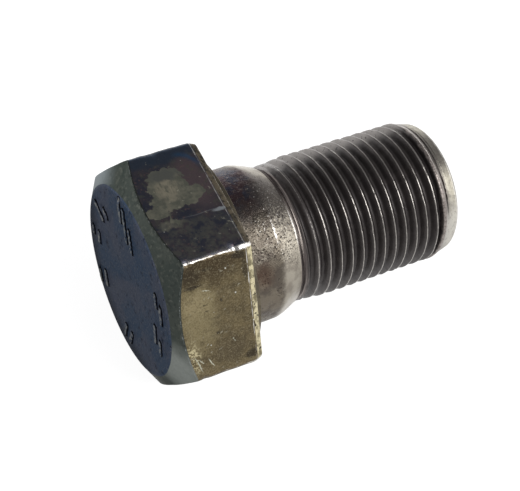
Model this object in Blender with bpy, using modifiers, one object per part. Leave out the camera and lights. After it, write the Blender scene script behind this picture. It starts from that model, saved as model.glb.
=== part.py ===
"""A hex bolt, M18 x 1.5 x 30 mm with a 27 mm spanner size, forged in one piece.

The world frame: the origin is the centre of the head's outer face, +X runs along the shank to the point, and +Z is
the outward direction of one spanner flat. Every shape is modelled along its own Z axis and turned onto +X.
"""

from math import atan2, cos, floor, pi, radians, sin, tan

import bmesh
import bpy

MM = 0.001

# The head
ACROSS_FLATS = 26.2 * MM  # a forged head is a little under its 27 mm spanner
CORNER_ROUNDING = 0.9 * MM
HEX_HEIGHT = 10.5 * MM
FACE_RADIUS = 11.5 * MM
CHAMFER_ANGLE = radians(30)
BACK_BEVEL_LENGTH = 0.9 * MM
BACK_BEVEL_DROP = 0.35 * MM
WASHER_RADIUS = 12.6 * MM
WASHER_HEIGHT = 0.5 * MM

# The shank, measured from the bearing face under the head
SHANK_LENGTH = 30 * MM
FILLET_RADIUS = 0.6 * MM
SHOULDER_RADIUS = 9.65 * MM
SHOULDER_END = 4.7 * MM
TAPER_RADIUS = 8.68 * MM
TAPER_END = 7.4 * MM
NECK_RADIUS = 8.28 * MM
NECK = 8.1 * MM
LEAD_RADIUS = 8.58 * MM
LEAD_START = 8.75 * MM
THREAD_START = 12.4 * MM
POINT_START = 27.4 * MM
BAND_RADIUS = 8.73 * MM
BAND_START = 27.7 * MM
RIM_RADIUS = 8.3 * MM
RIM_START = 29.4 * MM
RIM_BULGE = 0.1 * MM
POINT_RADIUS = 7.55 * MM

# The thread: right-handed, cut as one V groove that fades out at both ends
PITCH = 1.5 * MM
THREAD_RADIUS = 8.9 * MM
ROOT_RADIUS = 8.05 * MM
CREST_FLAT = PITCH / 8
ROOT_FLAT = PITCH / 4
GROOVE_START = 19.0 * MM  # along the bolt from the head's face, on the side that faces down
GROOVE_TURNS = 14
FADE_IN_TURNS = 0.6
FADE_OUT_TURNS = 1.1

SEGMENTS = 48
OVERLAP = 0.3 * MM
BEARING_FACE = HEX_HEIGHT + WASHER_HEIGHT
FLAT_RADIUS = ACROSS_FLATS / 2


def clear_scene():
    for thing in list(bpy.data.objects):
        bpy.data.objects.remove(thing)


def new_collection(name):
    collection = bpy.data.collections.new(name)
    bpy.context.scene.collection.children.link(collection)
    return collection


def new_object(name, collection, axis):
    thing = bpy.data.objects.new(name, bpy.data.meshes.new(name))
    collection.objects.link(thing)
    thing.parent = axis
    return thing


def make_helper(thing):
    """A shape that only takes part in Booleans."""
    thing.hide_render = True
    thing.display_type = "WIRE"


def bolt_axis(collection):
    """The empty that turns every shape's own Z axis onto the world's X axis."""
    axis = bpy.data.objects.new("bolt_axis", None)
    axis.rotation_euler = (0, radians(90), 0)
    axis.empty_display_size = 10 * MM
    collection.objects.link(axis)
    return axis


def add_screw(thing, turn, rise=0.0, turns=1):
    screw = thing.modifiers.new("Screw", "SCREW")
    screw.axis = "Z"
    screw.angle = turn
    screw.screw_offset = rise
    screw.iterations = turns
    screw.steps = screw.render_steps = SEGMENTS
    screw.use_merge_vertices = rise == 0
    screw.merge_threshold = 0.001 * MM
    return screw


def turned(name, collection, axis, profile):
    """A solid of revolution. The profile lists (radius, height) from one point on the axis to another."""
    thing = new_object(name, collection, axis)
    points = [(radius, 0, height) for radius, height in reversed(profile)]
    edges = [(i, i + 1) for i in range(len(points) - 1)]
    thing.data.from_pydata(points, edges, [])
    add_screw(thing, radians(360))
    return thing


def arc(centre, radius, start, end, steps):
    """Points of a circular arc as (radius, height), with its angles measured from the outward direction."""
    angles = [start + (end - start) * i / steps for i in range(steps + 1)]
    return [(centre[0] + radius * cos(a), centre[1] + radius * sin(a)) for a in angles]


def ease(t):
    """A smooth step from 0 to 1."""
    return t * t * (3 - 2 * t)


def blend(start, end, steps):
    """Points of an S-shaped slope between two (radius, height) points, without the first one."""
    shares = [(i + 1) / steps for i in range(steps)]
    return [
        (start[0] + (end[0] - start[0]) * ease(t), start[1] + (end[1] - start[1]) * t)
        for t in shares
    ]


def bulged(start, end, bulge, steps):
    """Points of a slope that swells by bulge in its middle, without the first one."""
    shares = [(i + 1) / steps for i in range(steps)]
    return [
        (start[0] + (end[0] - start[0]) * t + bulge * sin(pi * t), start[1] + (end[1] - start[1]) * t)
        for t in shares
    ]


def hexagon(collection, axis):
    """The head's six flats with rounded corners, and a bevel around the back of the flats."""
    thing = new_object("hex_bolt", collection, axis)
    straight = HEX_HEIGHT - BACK_BEVEL_LENGTH
    shape = bmesh.new()
    bmesh.ops.create_cone(
        shape,
        cap_ends=True,
        segments=6,
        radius1=FLAT_RADIUS / cos(radians(30)),
        radius2=FLAT_RADIUS / cos(radians(30)),
        depth=straight,
    )
    bmesh.ops.translate(shape, verts=shape.verts, vec=(0, 0, straight / 2))
    turn_flat_to_x(shape)
    long_edges = [e for e in shape.edges if abs(e.verts[0].co.z - e.verts[1].co.z) > straight / 2]
    setback = CORNER_ROUNDING * tan(radians(30))
    bmesh.ops.bevel(shape, geom=long_edges, offset=setback, segments=3, profile=0.5, affect="EDGES")
    back = [f for f in shape.faces if f.normal.z > 0.9]
    raised = bmesh.ops.extrude_face_region(shape, geom=back)
    bmesh.ops.delete(shape, geom=back, context="FACES_ONLY")
    shrink = 1 - BACK_BEVEL_DROP / FLAT_RADIUS
    for part in raised["geom"]:
        if isinstance(part, bmesh.types.BMVert):
            part.co.x *= shrink
            part.co.y *= shrink
            part.co.z += BACK_BEVEL_LENGTH
    bmesh.ops.recalc_face_normals(shape, faces=shape.faces)
    shape.to_mesh(thing.data)
    shape.free()
    return thing


def turn_flat_to_x(shape):
    """Turns the hexagon about its axis until the middle of a flat is on the local X axis."""
    corner = next(iter(shape.verts)).co
    turn = radians(30) - atan2(corner.y, corner.x)
    for vert in shape.verts:
        x, y = vert.co.x, vert.co.y
        vert.co.x = x * cos(turn) - y * sin(turn)
        vert.co.y = x * sin(turn) + y * cos(turn)


def chamfer_body(collection, axis):
    """The turned outline that cuts the scalloped chamfer on the hexagon's outer rim."""
    outer = FLAT_RADIUS * 1.4
    depth = (outer - FACE_RADIUS) * tan(CHAMFER_ANGLE)
    profile = [(0, 0), (FACE_RADIUS, 0), (outer, depth), (outer, BEARING_FACE), (0, BEARING_FACE)]
    thing = turned("chamfer_body", collection, axis, profile)
    make_helper(thing)
    return thing


def shank_profile():
    """(radius, height) down the bolt: washer face, fillet, shoulder, taper, neck, thread blank, band and rim."""
    fillet_centre = (SHOULDER_RADIUS + FILLET_RADIUS, BEARING_FACE + FILLET_RADIUS)
    taper = (TAPER_RADIUS, BEARING_FACE + TAPER_END)
    neck = (NECK_RADIUS, BEARING_FACE + NECK)
    lead = (LEAD_RADIUS, BEARING_FACE + LEAD_START)
    thread = (THREAD_RADIUS, BEARING_FACE + THREAD_START)
    rim = (RIM_RADIUS, BEARING_FACE + RIM_START)
    end = (POINT_RADIUS, BEARING_FACE + SHANK_LENGTH)
    return [
        (0, HEX_HEIGHT - OVERLAP),
        (WASHER_RADIUS, HEX_HEIGHT - OVERLAP),
        (WASHER_RADIUS, BEARING_FACE),
        *arc(fillet_centre, FILLET_RADIUS, radians(270), radians(180), 3),
        (SHOULDER_RADIUS, BEARING_FACE + SHOULDER_END),
        taper,
        *blend(taper, neck, 4),
        *blend(neck, lead, 3),
        *blend(lead, thread, 4),
        (THREAD_RADIUS, BEARING_FACE + POINT_START),
        (BAND_RADIUS, BEARING_FACE + BAND_START),
        rim,
        *bulged(rim, end, RIM_BULGE, 3),
        (0, BEARING_FACE + SHANK_LENGTH),
    ]


def groove_section():
    """The V groove's corners as (radius, height), with straight walls outside the thread's radius."""
    half_mouth = (PITCH - CREST_FLAT) / 2
    outside = THREAD_RADIUS + 6 * OVERLAP
    return [
        (ROOT_RADIUS, -ROOT_FLAT / 2),
        (ROOT_RADIUS, ROOT_FLAT / 2),
        (THREAD_RADIUS, half_mouth),
        (outside, half_mouth),
        (outside, -half_mouth),
        (THREAD_RADIUS, -half_mouth),
    ]


def run_out(turn):
    """How far the groove has risen out of the metal after this many turns, from 0 to 1."""
    nearest = min(turn / FADE_IN_TURNS, (GROOVE_TURNS - turn) / FADE_OUT_TURNS)
    return ease(1 - max(0, min(1, nearest)))


def lift_ends(shape):
    """Raises both ends of the groove cutter, so that the groove fades out instead of stopping at a wall."""
    for vert in shape.verts:
        share = (atan2(vert.co.y, vert.co.x) / (2 * pi)) % 1
        turn = share + floor((vert.co.z - GROOVE_START) / PITCH - share + 0.5)
        radius = (vert.co.x**2 + vert.co.y**2) ** 0.5
        growth = 1 + run_out(turn) * (THREAD_RADIUS - ROOT_RADIUS + OVERLAP) / radius
        vert.co.x *= growth
        vert.co.y *= growth


def thread_groove(collection, axis):
    """The helical cutter: the groove's section swept up the bolt, then closed at its two ends."""
    sweep = new_object("groove_sweep", collection, axis)
    section = [(radius, 0, GROOVE_START + height) for radius, height in groove_section()]
    count = len(section)
    sweep.data.from_pydata(section, [(i, (i + 1) % count) for i in range(count)], [])
    add_screw(sweep, radians(360), PITCH, GROOVE_TURNS)
    bpy.context.view_layer.update()
    swept = bpy.data.meshes.new_from_object(sweep.evaluated_get(bpy.context.evaluated_depsgraph_get()))
    bpy.data.objects.remove(sweep)
    thing = new_object("thread_groove", collection, axis)
    shape = bmesh.new()
    shape.from_mesh(swept)
    bpy.data.meshes.remove(swept)
    bmesh.ops.holes_fill(shape, edges=[e for e in shape.edges if e.is_boundary], sides=count)
    bmesh.ops.recalc_face_normals(shape, faces=shape.faces)
    lift_ends(shape)
    shape.to_mesh(thing.data)
    shape.free()
    make_helper(thing)
    return thing


def add_boolean(thing, other, operation):
    modifier = thing.modifiers.new(other.name, "BOOLEAN")
    modifier.operation = operation
    modifier.object = other
    modifier.solver = "EXACT"


def forged_steel():
    material = bpy.data.materials.new("forged_steel")
    material.use_nodes = True
    shader = material.node_tree.nodes["Principled BSDF"]
    shader.inputs["Base Color"].default_value = (0.11, 0.1, 0.09, 1)
    shader.inputs["Metallic"].default_value = 0.9
    shader.inputs["Roughness"].default_value = 0.4
    material.diffuse_color = (0.2, 0.19, 0.18, 1)
    return material


def hex_bolt():
    clear_scene()
    parts = new_collection("hex_bolt_parts")
    cutters = new_collection("cutters")
    axis = bolt_axis(parts)
    bolt = hexagon(parts, axis)
    shank = turned("shank_blank", cutters, axis, shank_profile())
    make_helper(shank)
    add_boolean(bolt, chamfer_body(cutters, axis), "INTERSECT")
    add_boolean(bolt, shank, "UNION")
    add_boolean(bolt, thread_groove(cutters, axis), "DIFFERENCE")
    bolt.data.materials.append(forged_steel())
    bolt.data.shade_smooth()
    bolt.data.set_sharp_from_angle(angle=radians(25))
    return bolt


hex_bolt()
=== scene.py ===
"""The looks of the hex bolt: one forged piece of blackened steel, in a bright studio.

The CAD solid stays the frame. This script puts one fine, closed mesh in its place, with rounded and worn
edges, raised forging marks, pitted metal and a helical thread, and gives every part of its surface a steel of
its own. Lengths are in millimetres until a mesh is made, and X runs from the head's face to the point.
"""

from itertools import product
from math import atan2, cos, hypot, pi, radians, sin, tan

import bpy
import numpy as np
from mathutils import Matrix, Vector


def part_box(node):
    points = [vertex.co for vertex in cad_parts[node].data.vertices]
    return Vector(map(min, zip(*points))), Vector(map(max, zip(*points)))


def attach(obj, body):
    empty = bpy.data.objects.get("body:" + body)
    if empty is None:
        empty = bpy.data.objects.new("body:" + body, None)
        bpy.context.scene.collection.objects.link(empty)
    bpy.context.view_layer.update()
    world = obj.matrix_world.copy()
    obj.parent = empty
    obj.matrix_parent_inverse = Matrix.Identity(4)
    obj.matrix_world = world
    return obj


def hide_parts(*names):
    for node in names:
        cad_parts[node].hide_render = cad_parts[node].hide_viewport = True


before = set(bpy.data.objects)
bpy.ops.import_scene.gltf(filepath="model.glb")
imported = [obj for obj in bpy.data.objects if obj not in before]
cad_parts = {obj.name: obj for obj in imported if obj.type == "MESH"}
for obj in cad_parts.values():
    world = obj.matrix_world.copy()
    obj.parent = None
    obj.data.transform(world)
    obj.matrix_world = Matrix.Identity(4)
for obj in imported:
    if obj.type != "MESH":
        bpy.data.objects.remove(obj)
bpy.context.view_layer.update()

MM = 0.001
NODE = "hex_bolt"
LOW, HIGH = (np.array(corner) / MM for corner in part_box(NODE))

# Sizes that the frame gives
LENGTH = HIGH[0] - LOW[0]
FLAT_RADIUS = (HIGH[2] - LOW[2]) / 2

# The head
CORNER_ROUNDING = 0.9
HEX_HEIGHT = 10.5
FACE_RADIUS = 11.5
CHAMFER_SLOPE = tan(radians(30))
BACK_BEVEL_START = HEX_HEIGHT - 0.9
BACK_BEVEL_DROP = 0.35
WASHER_RADIUS = 12.6
BEARING_FACE = 11.0
MARK_HEIGHT = 0.22

# The shank
FILLET_RADIUS = 0.6
SHOULDER_RADIUS = 9.65
SHOULDER_END = 15.7
TAPER_RADIUS = 8.68
TAPER_END = 18.4
NECK_RADIUS = 8.28
NECK = 19.1
LEAD_RADIUS = 8.58
LEAD_START = 19.75
THREAD_START = 23.4
POINT_START = 38.4
BAND_RADIUS = 8.73
BAND_START = 38.7
RIM_RADIUS = 8.3
RIM_START = 40.4
POINT_RADIUS = 7.55

# The thread: one right-handed groove, with flat crests and roots, given as half their widths in pitches. It
# fades in at the neck and is cut short at the point's band.
PITCH = 1.5
THREAD_RADIUS = 8.9
ROOT_RADIUS = 8.05
CREST_HALF_FLAT = 1 / 16
ROOT_HALF_FLAT = 1 / 8
GROOVE_START = 19.0
GROOVE_START_TURN = -0.25
GROOVE_TURNS = 14
FADE_IN_TURNS = 0.6
FADE_OUT_TURNS = 1.1
GROOVE_LIMIT = 38.0

# The mesh
COLUMNS = 270
GATHER = 0.1
HELIX_FROM = 19.2
HELIX_TO = 38.6

# The camera, in metres
CAMERA_PLACE = Vector((-0.04344, -0.07547, 0.13457))
CAMERA_TARGET = Vector((0.01696, -0.0009, 0.0))
CAMERA_ROLL = radians(15.44)
CAMERA_LENS = 94.58


# ---- shapes in numbers


def ease(t):
    """A smooth step from 0 to 1."""
    t = np.clip(t, 0, 1)
    return t * t * (3 - 2 * t)


def bell(distance, width):
    """1 at no distance, falling smoothly to 0 over about this width."""
    return np.exp(-((distance / width) ** 2))


def soft_least(a, b, softness):
    """The smaller of two values, rounded where they meet."""
    h = np.clip(0.5 + 0.5 * (b - a) / softness, 0, 1)
    return b + (a - b) * h - softness * h * (1 - h)


def lattice(ix, iy, iz, seed):
    """A fixed number from 0 to 1 for each point of a whole-number grid."""
    n = ix * 374761393 + iy * 668265263 + iz * 2147483647 + seed * 1274126177
    n = (n ^ (n >> 13)) * 1274126177
    return ((n ^ (n >> 16)) & 0xFFFF) / 65535.0


def value_noise(points, size, seed=0):
    """Smooth noise from 0 to 1 with features of this size."""
    p = points / size
    cell = np.floor(p).astype(np.int64)
    f = p - cell
    f = f * f * (3 - 2 * f)
    total = 0
    for corner in product((0, 1), repeat=3):
        weight = 1
        for axis, step in enumerate(corner):
            weight = weight * np.abs(1 - step - f[..., axis])
        ix, iy, iz = (cell[..., axis] + step for axis, step in enumerate(corner))
        total = total + weight * lattice(ix, iy, iz, seed)
    return total


def turned_from(angle, degrees):
    """The turn from a given angle, from -pi to pi."""
    return (angle - radians(degrees) + pi) % (2 * pi) - pi


def on_surface(x, radius, angle):
    """(x, y, z) of a place, from its distance along the bolt, its radius and its angle from +Y to +Z."""
    return np.stack(np.broadcast_arrays(x, radius * np.cos(angle), radius * np.sin(angle)), axis=-1)


def past_corner(angle):
    """The turn from the hexagon's nearest corner, from -pi / 6 to pi / 6."""
    return (angle + pi / 6) % (pi / 3) - pi / 6


def hexagon_radius(angle):
    """The distance from the axis to the hexagon's rounded outline, in each direction."""
    from_corner = np.abs(past_corner(angle))
    from_flat = pi / 6 - from_corner
    flat = FLAT_RADIUS / np.cos(from_flat)
    centre = (FLAT_RADIUS - CORNER_ROUNDING) / cos(pi / 6)
    inside = CORNER_ROUNDING**2 - (centre * np.sin(from_corner)) ** 2
    rounded = centre * np.cos(from_corner) + np.sqrt(np.maximum(inside, 0))
    tangent_angle = atan2((FLAT_RADIUS - CORNER_ROUNDING) * tan(pi / 6), FLAT_RADIUS)
    return np.where(from_flat > tangent_angle, rounded, flat)


def chamfer_end(hexagon):
    """Where the chamfer ends along the bolt, for each radius of the hexagon."""
    return (hexagon - FACE_RADIUS) * CHAMFER_SLOPE


def back_radius(hexagon):
    """The radius left inside the back bevel, for each radius of the hexagon."""
    return hexagon * (1 - BACK_BEVEL_DROP / FLAT_RADIUS)


def blank_radius(x):
    """The turned shank before its thread: shoulder, taper, neck, lead-in, thread blank, band and rim."""
    taper = (x - SHOULDER_END) / (TAPER_END - SHOULDER_END)
    radius = SHOULDER_RADIUS - (SHOULDER_RADIUS - TAPER_RADIUS) * np.clip(taper, 0, 1) ** 1.3
    radius = radius - (TAPER_RADIUS - NECK_RADIUS) * ease((x - TAPER_END) / (NECK - TAPER_END))
    radius = radius + (LEAD_RADIUS - NECK_RADIUS) * ease((x - NECK) / (LEAD_START - NECK))
    radius = radius + (THREAD_RADIUS - LEAD_RADIUS) * ease((x - LEAD_START) / (THREAD_START - LEAD_START))
    radius = radius - (THREAD_RADIUS - BAND_RADIUS) * ease((x - POINT_START) / (BAND_START - POINT_START))
    radius = radius - (BAND_RADIUS - RIM_RADIUS) * np.clip((x - BAND_START) / (RIM_START - BAND_START), 0, 1)
    return radius - (RIM_RADIUS - POINT_RADIUS) * np.clip((x - RIM_START) / (LENGTH - RIM_START), 0, 1) ** 1.5


# Shallow lines around part of the point, as (x, depth, width)
POINT_LINES = [(38.98, 0.15, 0.1), (39.35, 0.06, 0.08)]


def point_line_depth(x, angle):
    reach = ease((1.05 - np.abs(angle - radians(105))) / 0.5)
    return reach * sum(depth * bell(x - place, width) for place, depth, width in POINT_LINES)


def groove_place(x, angle):
    """(place across the groove in pitches, from -0.5 to 0.5, and turns along it) of the nearest groove."""
    across = (x - GROOVE_START) / PITCH - angle / (2 * pi) + GROOVE_START_TURN
    nearest = np.round(across)
    return across - nearest, nearest + angle / (2 * pi) - GROOVE_START_TURN


def groove_radius(across, turns):
    """The groove's own radius: a flat root, straight flanks, and lifted out of the metal at its ends."""
    slope = (THREAD_RADIUS - ROOT_RADIUS) / (1 / 2 - CREST_HALF_FLAT - ROOT_HALF_FLAT)
    beyond = np.abs(across) - ROOT_HALF_FLAT
    wall = ROOT_RADIUS + (np.sqrt(beyond**2 + 0.03**2) + beyond) / 2 * slope
    inside = np.minimum(turns / FADE_IN_TURNS, (GROOVE_TURNS - turns) / FADE_OUT_TURNS)
    return wall + ease(1 - inside) * (THREAD_RADIUS - ROOT_RADIUS + 0.3) + np.maximum(-inside, 0) * 9


def shank_radius(x, angle):
    """The turned shank with its groove cut, up to the groove's limit at the point."""
    across, turns = groove_place(x, angle)
    groove = groove_radius(across, turns) + ease((x - GROOVE_LIMIT) / 0.2)
    return soft_least(blank_radius(x), groove, 0.07)


# ---- the fine mesh


class Skin:
    """The rows of the bolt's surface, from the middle of the head's face to the middle of the point's."""

    def __init__(self):
        self.x, self.radius, self.angle = [], [], []
        self.zones, self.helix = [], []

    def add(self, x, radius, angle, zone, helical=False):
        shape = np.broadcast_arrays(x, radius, angle)
        for rows, values in zip((self.x, self.radius, self.angle), shape, strict=True):
            rows.append(np.array(values, float))
        self.zones.append(zone)
        self.helix.append(helical)

    def stacked(self):
        return np.array(self.x), np.array(self.radius), np.array(self.angle)


COLUMN_ANGLES = np.arange(COLUMNS) * 2 * pi / COLUMNS
GATHERED_ANGLES = COLUMN_ANGLES - GATHER * np.sin(6 * COLUMN_ANGLES)


def rounded_rows(corners, steps=4):
    """Rows along a profile whose corners are (x, radius, setback, rows to the next corner, zone)."""
    path = [np.stack(np.broadcast_arrays(x, r, COLUMN_ANGLES * 0)[:2]) for x, r, *_ in corners]
    rows = []
    last = len(corners) - 1
    leave = path[0]
    for i in range(last):
        count, zone = corners[i][3:]
        step = path[i + 1] - path[i]
        length = np.hypot(*step)
        share = np.minimum(corners[i + 1][2] / length, 0.45) if i + 1 < last else 0 * length
        arrive = path[i + 1] - step * share
        for k in range(count):
            rows.append((*(leave + (arrive - leave) * k / count), zone))
        if i + 1 == last:
            rows.append((*path[last], zone))
            break
        after = path[i + 2] - path[i + 1]
        share = np.minimum(corners[i + 1][2] / np.hypot(*after), 0.45)
        leave = path[i + 1] + after * share
        for k in range(steps):
            t = k / steps
            place = arrive * (1 - t) ** 2 + path[i + 1] * 2 * t * (1 - t) + leave * t * t
            rows.append((*place, zone))
    return rows


def add_face(skin):
    """The head's outer face, in rings from its middle, finer where the marks are."""
    rings = [*np.linspace(0.5, 5.5, 6), *np.linspace(5.75, FACE_RADIUS - 0.4, 28)]
    for radius in rings:
        skin.add(0, radius, GATHERED_ANGLES, "face")


def add_head(skin):
    """The head's rim, chamfer, flats, back bevel, washer face and fillet."""
    hexagon = hexagon_radius(GATHERED_ANGLES)
    start = FACE_RADIUS - 0.38
    corners = [
        (0, start, 0, 1, "face"),
        (0, FACE_RADIUS, 0.3, 7, "chamfer"),
        (chamfer_end(hexagon), hexagon, 0.14, 26, "flat"),
        (BACK_BEVEL_START, hexagon, 0.16, 3, "bevel"),
        (HEX_HEIGHT, back_radius(hexagon), 0.2, 5, "under"),
        (HEX_HEIGHT, WASHER_RADIUS, 0.06, 2, "under"),
        (BEARING_FACE, WASHER_RADIUS, 0.1, 5, "under"),
        (BEARING_FACE, SHOULDER_RADIUS, FILLET_RADIUS, 1, "shoulder"),
        (BEARING_FACE + FILLET_RADIUS + 0.1, SHOULDER_RADIUS, 0, 1, "shoulder"),
    ]
    for x, radius, zone in rounded_rows(corners):
        skin.add(x, radius, GATHERED_ANGLES, zone)


def add_turned(skin, start, end, count, zone):
    """Plain rings of the shank."""
    for k in range(count):
        x = start + (end - start) * k / count
        spread = GATHER * ease((SHOULDER_END - x) / (SHOULDER_END - BEARING_FACE))
        angle = COLUMN_ANGLES - spread * np.sin(6 * COLUMN_ANGLES)
        skin.add(x, shank_radius(x, angle), angle, zone)


def add_thread(skin):
    """Rows that turn with the thread's helix, so that its crests and roots lie along them."""
    across = np.array([-0.5, -0.455, -0.415, -0.28, -0.17, -0.11, 0, 0.11, 0.17, 0.28, 0.415, 0.455])
    first_groove = GROOVE_START - GROOVE_START_TURN * PITCH
    lead = np.linspace(HELIX_FROM, HELIX_FROM + 1.6, 16, endpoint=False)
    body = [first_groove + PITCH * (turn + place) for turn in range(GROOVE_TURNS) for place in across]
    body = [x for x in body if lead[-1] + 0.04 < x < HELIX_TO - 2.2]
    tail = np.linspace(body[-1] + 0.15, HELIX_TO, 27)
    places = [*lead, *body, *tail]
    follow = [*np.linspace(0, 1, len(lead)), *[1] * len(body), *np.linspace(1, 0, len(tail))]
    for x, share in zip(places, follow, strict=True):
        turned_x = x + PITCH * share * COLUMN_ANGLES / (2 * pi)
        skin.add(turned_x, shank_radius(turned_x, COLUMN_ANGLES), COLUMN_ANGLES, "thread", True)


def add_point(skin):
    """The rest of the point and its flat end."""
    add_turned(skin, HELIX_TO + 0.08, LENGTH - 0.15, 26, "point")
    end = LENGTH - 0.15
    corners = [
        (end, blank_radius(end), 0, 1, "point"),
        (LENGTH, POINT_RADIUS, 0.12, 9, "end"),
        (LENGTH, 0.6, 0, 1, "end"),
    ]
    for x, radius, zone in rounded_rows(corners):
        skin.add(x, radius, COLUMN_ANGLES, zone)


def zipped(left, right, first, last):
    """Triangles between two columns of a seam whose rows don't match, taken in order along the bolt."""
    i = j = first
    triangles = []
    while i < last or j < last:
        forward_left = i < last and (j == last or left[i + 1] - right[j] < right[j + 1] - left[i])
        if forward_left:
            triangles.append((i * COLUMNS + COLUMNS - 1, j * COLUMNS, (i + 1) * COLUMNS + COLUMNS - 1))
            i += 1
        else:
            triangles.append((i * COLUMNS + COLUMNS - 1, j * COLUMNS, (j + 1) * COLUMNS))
            j += 1
    return triangles


def skin_faces(skin):
    """(faces, zone of each face) of the closed surface."""
    rows = len(skin.zones)
    helical = [i for i, turns in enumerate(skin.helix) if turns]
    first, last = helical[0], helical[-1]
    faces, zones = [], []
    for r in range(rows - 1):
        in_helix = first <= r < last
        for c in range(COLUMNS - 1 if in_helix else COLUMNS):
            n = (c + 1) % COLUMNS
            a, b = r * COLUMNS, (r + 1) * COLUMNS
            faces.append((a + c, a + n, b + n, b + c))
        zones += [skin.zones[r]] * (COLUMNS - 1 if in_helix else COLUMNS)
    seam = zipped([row[-1] for row in skin.x], [row[0] for row in skin.x], first, last)
    faces += seam
    zones += ["thread"] * len(seam)
    face_middle, end_middle = rows * COLUMNS, rows * COLUMNS + 1
    for c in range(COLUMNS):
        n = (c + 1) % COLUMNS
        faces.append((face_middle, n, c))
        faces.append((end_middle, (rows - 1) * COLUMNS + c, (rows - 1) * COLUMNS + n))
        zones += ["face", "end"]
    return faces, zones


# ---- marks, dents and pits


def capsule(y, z, place, length, tilt, width):
    """How far inside a rounded bar each point of the face lies, as a soft 0 to 1."""
    along = np.array([cos(radians(tilt)), sin(radians(tilt))])
    dy, dz = y - place[0], z - place[1]
    run = np.clip(dy * along[0] + dz * along[1], -length / 2, length / 2)
    distance = np.hypot(dy - run * along[0], dz - run * along[1])
    return ease((width / 2 - distance) / 0.22 + 0.5)


# Plain forging marks around the face: (y, z), length, tilt in degrees and width. They name nothing.
MARKS = [
    ((4.0, 9.0), 2.8, 62, 0.7),
    ((2.3, 8.1), 4.0, 62, 0.7),
    ((0.6, 7.3), 2.8, 62, 0.7),
    ((8.9, 2.5), 2.4, 8, 0.75),
    ((7.3, 4.0), 1.0, 8, 0.75),
    ((9.8, -2.4), 0.8, 72, 0.8),
    ((8.1, -1.9), 1.2, 72, 0.8),
    ((6.6, -8.0), 1.3, 60, 0.8),
    ((5.1, -6.6), 1.7, 60, 0.8),
    ((-1.3, -8.9), 2.0, 92, 0.75),
    ((-2.9, -8.4), 1.8, 92, 0.75),
    ((-6.8, 5.9), 1.5, 66, 0.7),
    ((-8.4, 5.2), 2.0, 66, 0.7),
    ((-8.0, 0.6), 2.2, 70, 0.7),
    ((-9.6, -0.1), 1.6, 70, 0.7),
]


def mark_height(points):
    """How far up the nearest mark each point of the face lies, from 0 to 1."""
    y, z = points[..., 1], points[..., 2]
    tops = [capsule(y, z, *mark) for mark in MARKS]
    return np.max(tops, axis=0)


# Dents as (x, angle in degrees, depth, width along the bolt, width around it)
DENTS = [
    (8.3, 120.0, 0.34, 0.2, 0.5),
    (7.7, 119.0, 0.12, 0.3, 0.6),
    (2.4, 120.0, 0.16, 0.25, 0.4),
    (5.2, 60.5, 0.15, 0.3, 0.5),
    (3.1, 180.0, 0.2, 0.3, 0.5),
    (7.9, 241.0, 0.22, 0.35, 0.6),
    (4.6, 300.5, 0.18, 0.3, 0.5),
    (9.0, 0.0, 0.25, 0.3, 0.5),
    (6.0, 143.8, 0.07, 0.16, 0.18),
    (5.2, 159.5, 0.07, 0.18, 0.16),
    (4.2, 147.5, 0.06, 0.22, 0.12),
    (21.6, 153.0, 0.16, 0.2, 0.35),
    (37.5, 143.0, 0.2, 0.2, 0.35),
    (28.2, 142.0, 0.12, 0.2, 0.4),
    (33.2, 164.0, 0.14, 0.25, 0.4),
    (25.2, 75.0, 0.12, 0.2, 0.5),
    (31.0, 20.0, 0.15, 0.2, 0.6),
    (26.6, 250.0, 0.18, 0.25, 0.5),
    (34.5, 300.0, 0.15, 0.2, 0.6),
]


def dent_depth(x, radius, angle):
    total = 0
    for place, degrees, depth, along, around in DENTS:
        across = turned_from(angle, degrees) * radius
        total = total + depth * bell(x - place, along) * bell(across, around)
    return total


def roughen(skin):
    """The final points: the skin's rows with marks, forged unevenness, pits and dents."""
    x, radius, angle = skin.stacked()
    zones = np.array(skin.zones)
    points = on_surface(x, radius, angle)
    inward = np.zeros_like(x)
    head = np.isin(zones, ["chamfer", "flat", "bevel"])[:, None]
    forged = value_noise(points, 3.2, 1) + 0.5 * value_noise(points, 1.4, 2) - 0.75
    fine = value_noise(points, 0.55, 3) - 0.5
    inward = inward + head * (0.07 * forged + 0.02 * fine)
    worn_corner = bell(past_corner(angle) * radius, 0.7)
    inward = inward + head * worn_corner * 0.16 * (value_noise(points, 0.9, 4) - 0.35)
    shoulder = np.isin(zones, ["shoulder", "taper"])[:, None]
    pits = ease((value_noise(points, 0.5, 5) - 0.6) * 4) + 0.6 * ease((value_noise(points, 0.9, 6) - 0.6) * 4)
    inward = inward + shoulder * (pits * 0.035 + 0.05 * (value_noise(points, 1.6, 9) - 0.5))
    thread = (zones == "thread")[:, None]
    inward = inward + thread * (0.06 * (value_noise(points, 0.7, 7) - 0.5) + 0.05 * ease((fine - 0.22) * 5))
    inward = inward + dent_depth(x, radius, angle) + point_line_depth(x, angle)
    points = on_surface(x, radius - inward, angle)
    face = (zones == "face")[:, None]
    rise = MARK_HEIGHT * mark_height(points) * ease((FACE_RADIUS - 0.3 - radius) / 0.5)
    points[..., 0] -= face * (rise - 0.05 * (value_noise(points, 2.6, 8) - 0.5) * ease((11 - radius) / 3))
    ends = [(0, 0, 0), (LENGTH, 0, 0)]
    return np.concatenate([points.reshape(-1, 3), ends])


# ---- what the materials read from the mesh


# How worn the head's corners are, and how golden its flats, in order from +Y to +Z
CORNER_WEAR = np.array([0.75, 0.35, 1.0, 0.7, 0.9, 0.6])
FLAT_GOLD = np.array([0.35, 0.0, 1.0, 0.75, 0.45, 0.15])

NECK_RING = 19.0
LAST_CREST = 36.9


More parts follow.
